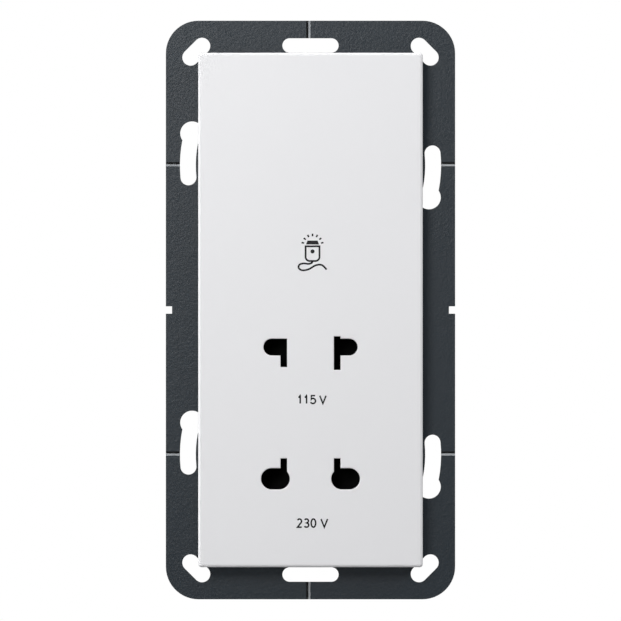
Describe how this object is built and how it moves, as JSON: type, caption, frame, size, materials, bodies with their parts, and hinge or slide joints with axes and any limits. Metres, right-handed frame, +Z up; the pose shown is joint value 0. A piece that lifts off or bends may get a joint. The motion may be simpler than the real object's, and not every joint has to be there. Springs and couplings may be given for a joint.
{
  "type": "shaver socket",
  "caption": "Flush wall shaver socket: clip-on cover with shuttered pin holes, metal support frame and an isolating transformer in a tub behind.",
  "frame": {"origin": "centre of the support frame's back face, where it lies against the wall", "axes": "+X right and +Z up as seen from in front, +Y into the wall"},
  "size_m": [0.071, 0.0545, 0.142],
  "materials": {
    "frame_metal": "fine textured dark coating",
    "cover_white": "satin",
    "carrier_plastic": "matt",
    "base_plastic": "matt",
    "shutter_plastic": "satin",
    "spring_steel": "bright wire",
    "contact_brass": "rolled strip",
    "switch_case": "matt",
    "switch_button": "matt",
    "tab_metal": "tinned",
    "core_steel": "stacked sheets",
    "former_nylon": "natural",
    "copper_wire": "enamelled copper",
    "yellow_tape": "film",
    "cutout_case": "matt",
    "housing_plastic": "fine grained",
    "zinc_screws": "zinc",
    "block_plastic": "matt",
    "terminal_brass": "machined",
    "strap_metal": "tinned strip",
    "lead_brown": "insulated",
    "lead_blue": "insulated",
    "lead_black": "insulated",
    "lead_red": "insulated"
  },
  "bodies": {
    "root": {"support_frame": "frame_metal", "cover_plate": "cover_white", "front_carrier": "carrier_plastic", "contact_base": "base_plastic", "base_backplate": "base_plastic", "shutter_spring_115": "spring_steel", "shutter_spring_230": "spring_steel", "contact_115_left": "contact_brass", "contact_115_right": "contact_brass", "contact_230_left": "contact_brass", "contact_230_right": "contact_brass", "switch_body_115": "switch_case", "switch_body_230": "switch_case", "switch_tabs_115": "tab_metal", "switch_tabs_230": "tab_metal", "core_e_stack": "core_steel", "core_i_stack": "core_steel", "coil_former": "former_nylon", "primary_winding": "copper_wire", "secondary_winding": "copper_wire", "winding_insulation": "yellow_tape", "coil_tape": "yellow_tape", "thermal_cutout": "cutout_case", "rear_housing": "housing_plastic", "core_screws": "zinc_screws", "housing_screws": "zinc_screws", "frame_screws": "zinc_screws", "base_screws": "zinc_screws", "terminal_screws": "zinc_screws", "terminal_block": "block_plastic", "terminal_live": "terminal_brass", "terminal_neutral": "terminal_brass", "terminal_earth": "terminal_brass", "earth_strap": "strap_metal", "lead_live": "lead_brown", "lead_link": "lead_brown", "lead_cutout": "lead_brown", "lead_neutral": "lead_blue", "lead_common_link": "lead_black", "lead_common": "lead_black", "lead_tap_115": "lead_red", "lead_tap_230": "lead_red"},
    "shutter_115": {"shutter_115": "shutter_plastic"},
    "shutter_230": {"shutter_230": "shutter_plastic"},
    "plunger_115": {"switch_plunger_115": "switch_button"},
    "plunger_230": {"switch_plunger_230": "switch_button"}
  },
  "joints": [
    {"name": "shutter_115_slide", "type": "slide", "parent": "root", "child": "shutter_115", "axis": [1, 0, 0], "range_m": [0, 0.00659], "stiffness_N_per_m": 60, "springref_m": -0.004, "deforming": ["shutter_spring_115"]},
    {"name": "shutter_230_slide", "type": "slide", "parent": "root", "child": "shutter_230", "axis": [1, 0, 0], "range_m": [0, 0.00785], "stiffness_N_per_m": 60, "springref_m": -0.004, "deforming": ["shutter_spring_230"]},
    {"name": "plunger_115_press", "type": "slide", "parent": "root", "child": "plunger_115", "axis": [0, 1, 0], "range_m": [0, 0.0007249]},
    {"name": "plunger_230_press", "type": "slide", "parent": "root", "child": "plunger_230", "axis": [0, 1, 0], "range_m": [0, 0.0008635]}
  ],
  "couplings": [
    {"joint": "plunger_115_press", "follows": "shutter_115_slide", "ratio": 0.11},
    {"joint": "plunger_230_press", "follows": "shutter_230_slide", "ratio": 0.11}
  ]
}
